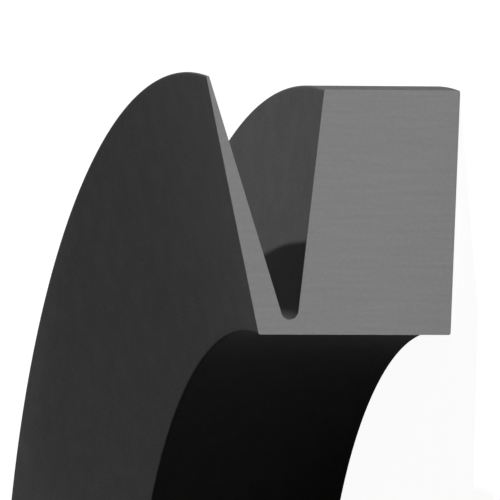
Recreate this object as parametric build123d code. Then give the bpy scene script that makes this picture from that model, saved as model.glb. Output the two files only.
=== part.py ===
from build123d import *
import math
import os

# V ring seal in moulded rubber, one piece, shown cut away.
# It lies on its flat back face: the ring axis is +Z, the origin is on that axis at the back face.
# The section is drawn flat, with x as the radius and y as the height above the back face.
# Sizes are in millimetres and angles in degrees.

# Body, the square-shouldered part that grips the shaft
bore_diameter = 10.5
body_height = 3.28
body_width = 1.89
foot_width = 2.67

# V groove between the body and the lip
groove_position = 2.25
groove_radius = 0.12
hinge_thickness = 0.2

# Lip, a thin cone that leans away from the body and ends in a fine rounded edge
lip_height = 3.45
overall_width = 3.53
lip_edge_radius = 0.02

# Small radius that the mould leaves on the corners
corner_radius = 0.03

# Sector that is cut out of the ring
cut_away_angle = 75

bore_radius = bore_diameter / 2
body_radius = bore_radius + body_height
lip_radius = bore_radius + lip_height


def tangent_ends(start, start_offset, end, end_offset):
    """Ends of the line that passes two centres at the given offsets, positive with the centre on its left."""
    span = end - start
    turn = math.degrees(math.acos((end_offset - start_offset) / span.length))
    left = span.normalized().rotate(Axis.Z, turn)
    return start - left * start_offset, end - left * end_offset


def section_outline():
    """Closed outline of the rubber: foot, body, groove wall, groove floor, lip."""
    bore_back = Vector(bore_radius, 0)
    body_back = Vector(body_radius, 0)
    body_shoulder = Vector(body_radius, body_width)
    lip_root = Vector(bore_radius, foot_width)
    groove_floor = Vector(bore_radius + hinge_thickness, groove_position)
    groove_centre = groove_floor + Vector(groove_radius, 0)
    lip_summit = Vector(lip_radius, overall_width - lip_edge_radius)
    lip_edge_centre = lip_summit - Vector(lip_edge_radius, 0)

    wall_ends = tangent_ends(body_shoulder, 0, groove_centre, -groove_radius)
    inside_ends = tangent_ends(groove_centre, -groove_radius, lip_edge_centre, lip_edge_radius)
    outside_ends = tangent_ends(lip_root, 0, lip_edge_centre, -lip_edge_radius)

    with BuildLine() as outline:
        FilletPolyline(
            outside_ends[1], lip_root, bore_back, body_back, body_shoulder, wall_ends[1], radius=corner_radius
        )
        ThreePointArc(wall_ends[1], groove_floor, inside_ends[0])
        Line(inside_ends[0], inside_ends[1])
        ThreePointArc(inside_ends[1], lip_summit, outside_ends[1])
    return outline.line


def v_ring():
    """Section swept round the axis from its cut face, which lies on the +X side."""
    section = Plane.XZ * make_face(section_outline())
    return revolve(section, axis=Axis.Z, revolution_arc=360 - cut_away_angle)


os.makedirs("parts", exist_ok=True)
export_step(v_ring(), "parts/v_ring.step")
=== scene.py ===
import math

import bpy
from mathutils import Matrix, Vector


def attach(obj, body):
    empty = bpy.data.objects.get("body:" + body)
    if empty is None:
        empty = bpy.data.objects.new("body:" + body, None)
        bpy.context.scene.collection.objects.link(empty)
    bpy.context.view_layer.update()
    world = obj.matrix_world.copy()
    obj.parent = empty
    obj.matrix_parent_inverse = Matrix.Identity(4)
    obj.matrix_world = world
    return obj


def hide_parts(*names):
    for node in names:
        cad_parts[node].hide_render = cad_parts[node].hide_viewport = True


# V ring seal in moulded rubber, cut away, lying on its back face with its lip up.
# Lengths are in metres and angles in degrees. The ring axis is +Z, and the cut face of the
# photograph lies on the +X side and faces -Y.

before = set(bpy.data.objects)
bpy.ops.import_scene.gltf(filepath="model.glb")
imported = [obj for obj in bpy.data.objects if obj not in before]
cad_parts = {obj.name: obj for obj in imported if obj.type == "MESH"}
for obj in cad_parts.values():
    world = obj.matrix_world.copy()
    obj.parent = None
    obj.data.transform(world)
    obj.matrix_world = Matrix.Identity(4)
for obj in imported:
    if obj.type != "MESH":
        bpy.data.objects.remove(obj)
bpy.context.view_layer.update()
MM = 0.001

# Section of the ring
BORE_RADIUS = 5.25 * MM
BODY_HEIGHT = 3.28 * MM
BODY_WIDTH = 1.89 * MM
FOOT_WIDTH = 2.67 * MM
GROOVE_POSITION = 2.25 * MM
GROOVE_RADIUS = 0.12 * MM
HINGE_THICKNESS = 0.2 * MM
LIP_HEIGHT = 3.45 * MM
OVERALL_WIDTH = 3.53 * MM
LIP_EDGE_RADIUS = 0.02 * MM
CORNER_RADIUS = 0.03 * MM
RING_ANGLE = 285

# Fineness of the mesh
SWEEP_STEPS = 456
CORNER_STEPS = 6
GROOVE_STEPS = 20
LIP_EDGE_STEPS = 10
RUN_SUPPORT = 0.05 * MM
LONG_RUN = 0.15 * MM

# Greys, as the linear values that the shader takes, with the darkest and the lightest of each rubber
SKIN_GREYS = (0.074, 0.108)
# The cut face's greys are lighter than the skin's partly because cut rubber is greyer and partly as painted
# light on the cut face
CUT_GREYS_AND_PAINTED_LIGHT = (0.243, 0.299)
FLOOR_GREY = 0.2

# Textures: the span of noise that the greys cover, each noise, and how the noises share the tone
NOISE_SPAN = (0.3, 0.7)
SKIN_MOTTLE = {"size": 0.35 * MM, "detail": 4}
SKIN_GRAIN = {"size": 0.03 * MM, "detail": 3}
TURNING_RINGS = {"size": 0.05 * MM, "detail": 2}
KNIFE_DRAG = {"size": 0.06 * MM, "detail": 3}
FILLER_SPECKS = {"size": 0.05 * MM, "detail": 5, "roughness": 0.7}
GRAIN_SHARE = 0.65
SPECKS_SHARE = 0.6
KNIFE_ANGLE = 12
KNIFE_SCALE = 0.06

# Depths of the bumps, and the finish
TURNING_RINGS_DEPTH = 0.0012 * MM
SKIN_GRAIN_DEPTH = 0.0015 * MM
KNIFE_DRAG_DEPTH = 0.001 * MM
FILLER_SPECKS_DEPTH = 0.0008 * MM
SKIN_ROUGHNESS = 0.8
CUT_ROUGHNESS = 0.85
RUBBER_SPECULAR = 0.02

# Camera: the photograph holds the ring with its axis level, lip to the left
CAMERA_AZIMUTH = 16.88
CAMERA_ELEVATION = 6.46
CAMERA_ROLL = 2.21
CAMERA_DISTANCE = 298.75 * MM
CAMERA_LENS = 1620
SENSOR_WIDTH = 36
NEAREST_SEEN = 10 * MM
FARTHEST_SEEN = 10
AIM_ALONG_AXIS = -2.836 * MM
AIM_HEIGHT = 6.379 * MM

# Floor: its glow is a little under white near the part, and the lamps add the rest outside the shadow
FLOOR_HALF_WIDTH = 2
FLOOR_GLOW = 0.95
SHADOW_REACH = 25 * MM
WHITE_FROM = 75 * MM

# Lamps: each has its azimuth round the part from +X, elevation, width and level at the part.
# Side and low are level with the ring: they light its far sides and hardly reach what the photograph shows.
LAMP_DISTANCE = 300 * MM
PART_MIDDLE = Vector((0, 0, 2 * MM))
LAMPS = {
    "key": (22, 31, 4 * MM, 0.8),
    "front": (311, 0.75, 6 * MM, 0.9),
    "back": (90, 10, 80 * MM, 0.14),
    "side": (140, 0, 3 * MM, 0.6),
    "far": (180, 18, 100 * MM, 0.028),
    "low": (230, 0, 3 * MM, 0.6),
}


def tangent_ends(start, start_offset, end, end_offset):
    """Ends of the line that passes two centres at the given offsets, positive with the centre on its left."""
    span = end - start
    turn = math.acos((end_offset - start_offset) / span.length)
    left = Matrix.Rotation(turn, 2) @ span.normalized()
    return start - left * start_offset, end - left * end_offset


def arc_points(centre, radius, first, last, steps):
    """Points of the shorter arc from the direction of first to that of last."""
    spoke = (first - centre).normalized() * radius
    sweep = spoke.angle_signed(last - centre)
    return [centre + Matrix.Rotation(-sweep * i / steps, 2) @ spoke for i in range(steps + 1)]


def corner_points(before, corner, after):
    """Points that round a corner off with the mould's small radius."""
    into = (before - corner).normalized()
    out = (after - corner).normalized()
    half_angle = into.angle(out) / 2
    reach = CORNER_RADIUS / math.tan(half_angle)
    centre = corner + (into + out).normalized() * CORNER_RADIUS / math.sin(half_angle)
    return arc_points(centre, CORNER_RADIUS, corner + into * reach, corner + out * reach, CORNER_STEPS)


def with_supports(stretches):
    """One closed outline from the rounded stretches, with a point near both ends of each long run."""
    outline = []
    for stretch, following in zip(stretches, stretches[1:] + stretches[:1]):
        outline += stretch
        run = following[0] - stretch[-1]
        if run.length > LONG_RUN:
            step = run.normalized() * RUN_SUPPORT
            outline += [stretch[-1] + step, following[0] - step]
    return outline


def section_outline():
    """Outline of the rubber, each point as radius and height above the back face."""
    bore_back = Vector((BORE_RADIUS, 0))
    body_back = Vector((BORE_RADIUS + BODY_HEIGHT, 0))
    body_shoulder = Vector((BORE_RADIUS + BODY_HEIGHT, BODY_WIDTH))
    lip_root = Vector((BORE_RADIUS, FOOT_WIDTH))
    groove_centre = Vector((BORE_RADIUS + HINGE_THICKNESS + GROOVE_RADIUS, GROOVE_POSITION))
    edge_centre = Vector((BORE_RADIUS + LIP_HEIGHT - LIP_EDGE_RADIUS, OVERALL_WIDTH - LIP_EDGE_RADIUS))

    wall = tangent_ends(body_shoulder, 0, groove_centre, -GROOVE_RADIUS)
    inside = tangent_ends(groove_centre, -GROOVE_RADIUS, edge_centre, LIP_EDGE_RADIUS)
    outside = tangent_ends(lip_root, 0, edge_centre, -LIP_EDGE_RADIUS)
    stretches = [
        corner_points(lip_root, bore_back, body_back),
        corner_points(bore_back, body_back, body_shoulder),
        corner_points(body_back, body_shoulder, wall[1]),
        arc_points(groove_centre, GROOVE_RADIUS, wall[1], inside[0], GROOVE_STEPS),
        arc_points(edge_centre, LIP_EDGE_RADIUS, inside[1], outside[1], LIP_EDGE_STEPS),
        corner_points(outside[1], lip_root, bore_back),
    ]
    return with_supports(stretches)


def ring_mesh(outline):
    """Mesh of the outline swept round the axis, with a flat cut face at each end in the second material."""
    count = len(outline)
    vertices = []
    for step in range(SWEEP_STEPS + 1):
        angle = math.radians(RING_ANGLE) * step / SWEEP_STEPS
        vertices += [(r * math.cos(angle), r * math.sin(angle), z) for r, z in outline]
    skin_faces = []
    for step in range(SWEEP_STEPS):
        near, far = step * count, (step + 1) * count
        for i in range(count):
            j = (i + 1) % count
            skin_faces.append((near + i, far + i, far + j, near + j))
    last = SWEEP_STEPS * count
    cut_faces = [tuple(range(count)), tuple(range(last, last + count))[::-1]]
    mesh = bpy.data.meshes.new("v_ring_rubber")
    mesh.from_pydata(vertices, [], skin_faces + cut_faces)
    for face in mesh.polygons:
        is_cut = face.index >= len(skin_faces)
        face.use_smooth = not is_cut
        face.material_index = int(is_cut)
    for edge in mesh.edges:
        sections = {vertex // count for vertex in edge.vertices}
        edge.use_edge_sharp = sections in ({0}, {SWEEP_STEPS})
    return mesh


def grey_colour(level):
    """Neutral colour of the given level, with full alpha."""
    return (level, level, level, 1)


def noise(tree, vector, size, detail, roughness=0.5):
    """Noise whose blotches are about the given size across."""
    node = tree.nodes.new("ShaderNodeTexNoise")
    node.inputs["Scale"].default_value = 1 / size
    node.inputs["Detail"].default_value = detail
    node.inputs["Roughness"].default_value = roughness
    tree.links.new(vector, node.inputs["Vector"])
    return node.outputs["Fac"]


def combine(tree, operation, first, second):
    """Math node of two inputs, each a socket or a number."""
    node = tree.nodes.new("ShaderNodeMath")
    node.operation = operation
    for socket, item in zip(node.inputs, (first, second)):
        if isinstance(item, (int, float)):
            socket.default_value = item
        else:
            tree.links.new(item, socket)
    return node.outputs["Value"]


def share_out(tree, first, second, second_share):
    """Mean of two values, weighted by the share of the second."""
    first_part = combine(tree, "MULTIPLY", first, 1 - second_share)
    second_part = combine(tree, "MULTIPLY", second, second_share)
    return combine(tree, "ADD", first_part, second_part)


def vector_length(tree, vector):
    """Length of a vector."""
    node = tree.nodes.new("ShaderNodeVectorMath")
    node.operation = "LENGTH"
    tree.links.new(vector, node.inputs["Vector"])
    return node.outputs["Value"]


def blend_greys(tree, factor, greys):
    """Colour that runs from the first grey to the second with the factor."""
    ramp = tree.nodes.new("ShaderNodeValToRGB")
    for element, position, level in zip(ramp.color_ramp.elements, NOISE_SPAN, greys):
        element.position = position
        element.color = grey_colour(level)
    tree.links.new(factor, ramp.inputs["Fac"])
    return ramp.outputs["Color"]


def bump(tree, height, depth, normal=None):
    """Bump of the given depth, over the given normal if there is one."""
    node = tree.nodes.new("ShaderNodeBump")
    node.inputs["Strength"].default_value = 1
    node.inputs["Distance"].default_value = depth
    tree.links.new(height, node.inputs["Height"])
    if normal:
        tree.links.new(normal, node.inputs["Normal"])
    return node.outputs["Normal"]


def rubber(name, roughness):
    """Material with its node tree, its principled shader and the object's own coordinates."""
    material = bpy.data.materials.new(name)
    material.use_nodes = True
    tree = material.node_tree
    shader = tree.nodes["Principled BSDF"]
    shader.inputs["Roughness"].default_value = roughness
    shader.inputs["Specular IOR Level"].default_value = RUBBER_SPECULAR
    place = tree.nodes.new("ShaderNodeTexCoord").outputs["Object"]
    return material, tree, shader, place


def radius_and_height(tree, place):
    """Coordinates that are the same all round the axis, for marks that run round the ring."""
    split = tree.nodes.new("ShaderNodeSeparateXYZ")
    tree.links.new(place, split.inputs["Vector"])
    level_place = tree.nodes.new("ShaderNodeCombineXYZ")
    tree.links.new(split.outputs["X"], level_place.inputs["X"])
    tree.links.new(split.outputs["Y"], level_place.inputs["Y"])
    ring_place = tree.nodes.new("ShaderNodeCombineXYZ")
    tree.links.new(vector_length(tree, level_place.outputs["Vector"]), ring_place.inputs["X"])
    tree.links.new(split.outputs["Z"], ring_place.inputs["Y"])
    return ring_place.outputs["Vector"]


def moulded_rubber():
    """Outer skin: matte black rubber with the grain and the faint turning rings of its mould."""
    material, tree, shader, place = rubber("moulded_rubber", SKIN_ROUGHNESS)
    mottle = noise(tree, place, **SKIN_MOTTLE)
    grain = noise(tree, place, **SKIN_GRAIN)
    tone = share_out(tree, mottle, grain, GRAIN_SHARE)
    tree.links.new(blend_greys(tree, tone, SKIN_GREYS), shader.inputs["Base Color"])

    turning_rings = noise(tree, radius_and_height(tree, place), **TURNING_RINGS)
    rings = bump(tree, turning_rings, TURNING_RINGS_DEPTH)
    tree.links.new(bump(tree, grain, SKIN_GRAIN_DEPTH, rings), shader.inputs["Normal"])
    return material


def cut_rubber_and_painted_light():
    """Cut face: greyer, drier rubber with knife drag and specks of filler, whose light grey is partly the cut
    rubber's own tone and partly painted light on the cut face.
    """
    material, tree, shader, place = rubber("cut_rubber_and_painted_light", CUT_ROUGHNESS)
    stretch = tree.nodes.new("ShaderNodeMapping")
    stretch.inputs["Rotation"].default_value = (0, math.radians(KNIFE_ANGLE), 0)
    stretch.inputs["Scale"].default_value = (1, 1, KNIFE_SCALE)
    tree.links.new(place, stretch.inputs["Vector"])
    drag = noise(tree, stretch.outputs["Vector"], **KNIFE_DRAG)
    specks = noise(tree, place, **FILLER_SPECKS)
    tone = share_out(tree, drag, specks, SPECKS_SHARE)
    # These lighter greys are partly the cut rubber's own tone and partly painted light on the cut face
    tree.links.new(blend_greys(tree, tone, CUT_GREYS_AND_PAINTED_LIGHT), shader.inputs["Base Color"])

    marks = bump(tree, drag, KNIFE_DRAG_DEPTH)
    tree.links.new(bump(tree, specks, FILLER_SPECKS_DEPTH, marks), shader.inputs["Normal"])
    return material


def build_ring():
    """The seal, in place of its CAD solid."""
    ring = bpy.data.objects.new("v_ring_rubber", ring_mesh(section_outline()))
    bpy.context.scene.collection.objects.link(ring)
    ring.data.materials.append(moulded_rubber())
    ring.data.materials.append(cut_rubber_and_painted_light())
    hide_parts("v_ring")
    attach(ring, "root")


def seen_directly(tree):
    """1 where a surface is seen, or shows in gloss or glass, and 0 where it lights the part."""
    path = tree.nodes.new("ShaderNodeLightPath")
    reflected = combine(tree, "MAXIMUM", path.outputs["Is Glossy Ray"], path.outputs["Is Transmission Ray"])
    return combine(tree, "MAXIMUM", path.outputs["Is Camera Ray"], reflected)


def floor_material():
    """Matte floor that glows nearly white near the part and fully white away from it."""
    material = bpy.data.materials.new("studio_floor")
    material.use_nodes = True
    tree = material.node_tree
    tree.nodes.clear()
    matte = tree.nodes.new("ShaderNodeBsdfDiffuse")
    matte.inputs["Color"].default_value = grey_colour(FLOOR_GREY)

    place = tree.nodes.new("ShaderNodeTexCoord").outputs["Object"]
    whiter = tree.nodes.new("ShaderNodeMapRange")
    whiter.inputs["From Min"].default_value = SHADOW_REACH
    whiter.inputs["From Max"].default_value = WHITE_FROM
    whiter.inputs["To Min"].default_value = FLOOR_GLOW
    whiter.inputs["To Max"].default_value = 1
    tree.links.new(vector_length(tree, place), whiter.inputs["Value"])
    glow = tree.nodes.new("ShaderNodeEmission")
    strength = combine(tree, "MULTIPLY", seen_directly(tree), whiter.outputs["Result"])
    tree.links.new(strength, glow.inputs["Strength"])

    both = tree.nodes.new("ShaderNodeAddShader")
    tree.links.new(matte.outputs["BSDF"], both.inputs[0])
    tree.links.new(glow.outputs["Emission"], both.inputs[1])
    output = tree.nodes.new("ShaderNodeOutputMaterial")
    tree.links.new(both.outputs["Shader"], output.inputs["Surface"])
    return material


def build_floor():
    """Pale floor that shows white with the part's soft shadow on it."""
    signs = ((-1, -1), (1, -1), (1, 1), (-1, 1))
    corners = [(x * FLOOR_HALF_WIDTH, y * FLOOR_HALF_WIDTH, 0) for x, y in signs]
    mesh = bpy.data.meshes.new("studio_floor")
    mesh.from_pydata(corners, [], [range(len(corners))])
    mesh.materials.append(floor_material())
    floor = bpy.data.objects.new("studio_floor", mesh)
    bpy.context.scene.collection.objects.link(floor)


def build_world():
    """White where it is seen, with no light from it on the part."""
    world = bpy.data.worlds.new("studio")
    bpy.context.scene.world = world
    world.use_nodes = True
    tree = world.node_tree
    background = tree.nodes["Background"]
    background.inputs["Color"].default_value = grey_colour(1)
    tree.links.new(seen_directly(tree), background.inputs["Strength"])


def direction(azimuth, elevation):
    """Unit vector at an azimuth from +X and an elevation."""
    around, above = math.radians(azimuth), math.radians(elevation)
    level = Vector((math.cos(around), math.sin(around), 0))
    return level * math.cos(above) + Vector((0, 0, math.sin(above)))


def soft_light(name, azimuth, elevation, width, level):
    """Square lamp that lights a facing white surface at the part to the given level, where 1 is white."""
    lamp = bpy.data.lights.new(name, "AREA")
    lamp.size = width
    lamp.energy = level * math.pi**2 * LAMP_DISTANCE**2
    holder = bpy.data.objects.new(name, lamp)
    bpy.context.scene.collection.objects.link(holder)
    toward = direction(azimuth, elevation)
    holder.location = PART_MIDDLE + toward * LAMP_DISTANCE
    holder.rotation_euler = toward.to_track_quat("Z", "Y").to_euler()


def build_lights():
    """All the lamps of the studio."""
    for name, settings in LAMPS.items():
        soft_light(name, *settings)


def photo_to_part(right, deep, up):
    """Place or direction of the photograph's frame, where the ring axis is level, in the part's own frame."""
    return Vector((up, deep, -right))


def build_camera():
    """Long lens from in front of the cut face, rolled so that the ring axis lies across the picture."""
    look = direction(90 - CAMERA_AZIMUTH, -CAMERA_ELEVATION)
    level_right = direction(-CAMERA_AZIMUTH, 0)
    level_up = level_right.cross(look)
    roll = math.radians(CAMERA_ROLL)
    right = level_right * math.cos(roll) + level_up * math.sin(roll)
    up = level_up * math.cos(roll) - level_right * math.sin(roll)
    place = Vector((AIM_ALONG_AXIS, 0, AIM_HEIGHT)) - look * CAMERA_DISTANCE

    camera = bpy.data.cameras.new("camera")
    camera.lens = CAMERA_LENS
    camera.sensor_width = SENSOR_WIDTH
    camera.clip_start = NEAREST_SEEN
    camera.clip_end = FARTHEST_SEEN
    holder = bpy.data.objects.new("camera", camera)
    bpy.context.scene.collection.objects.link(holder)
    axes = [photo_to_part(*axis) for axis in (right, up, -look)]
    turn = Matrix(axes).transposed().to_4x4()
    holder.matrix_world = Matrix.Translation(photo_to_part(*place)) @ turn
    bpy.context.scene.camera = holder


build_ring()
build_floor()
build_world()
build_lights()
build_camera()
bpy.context.scene.view_settings.view_transform = "Standard"
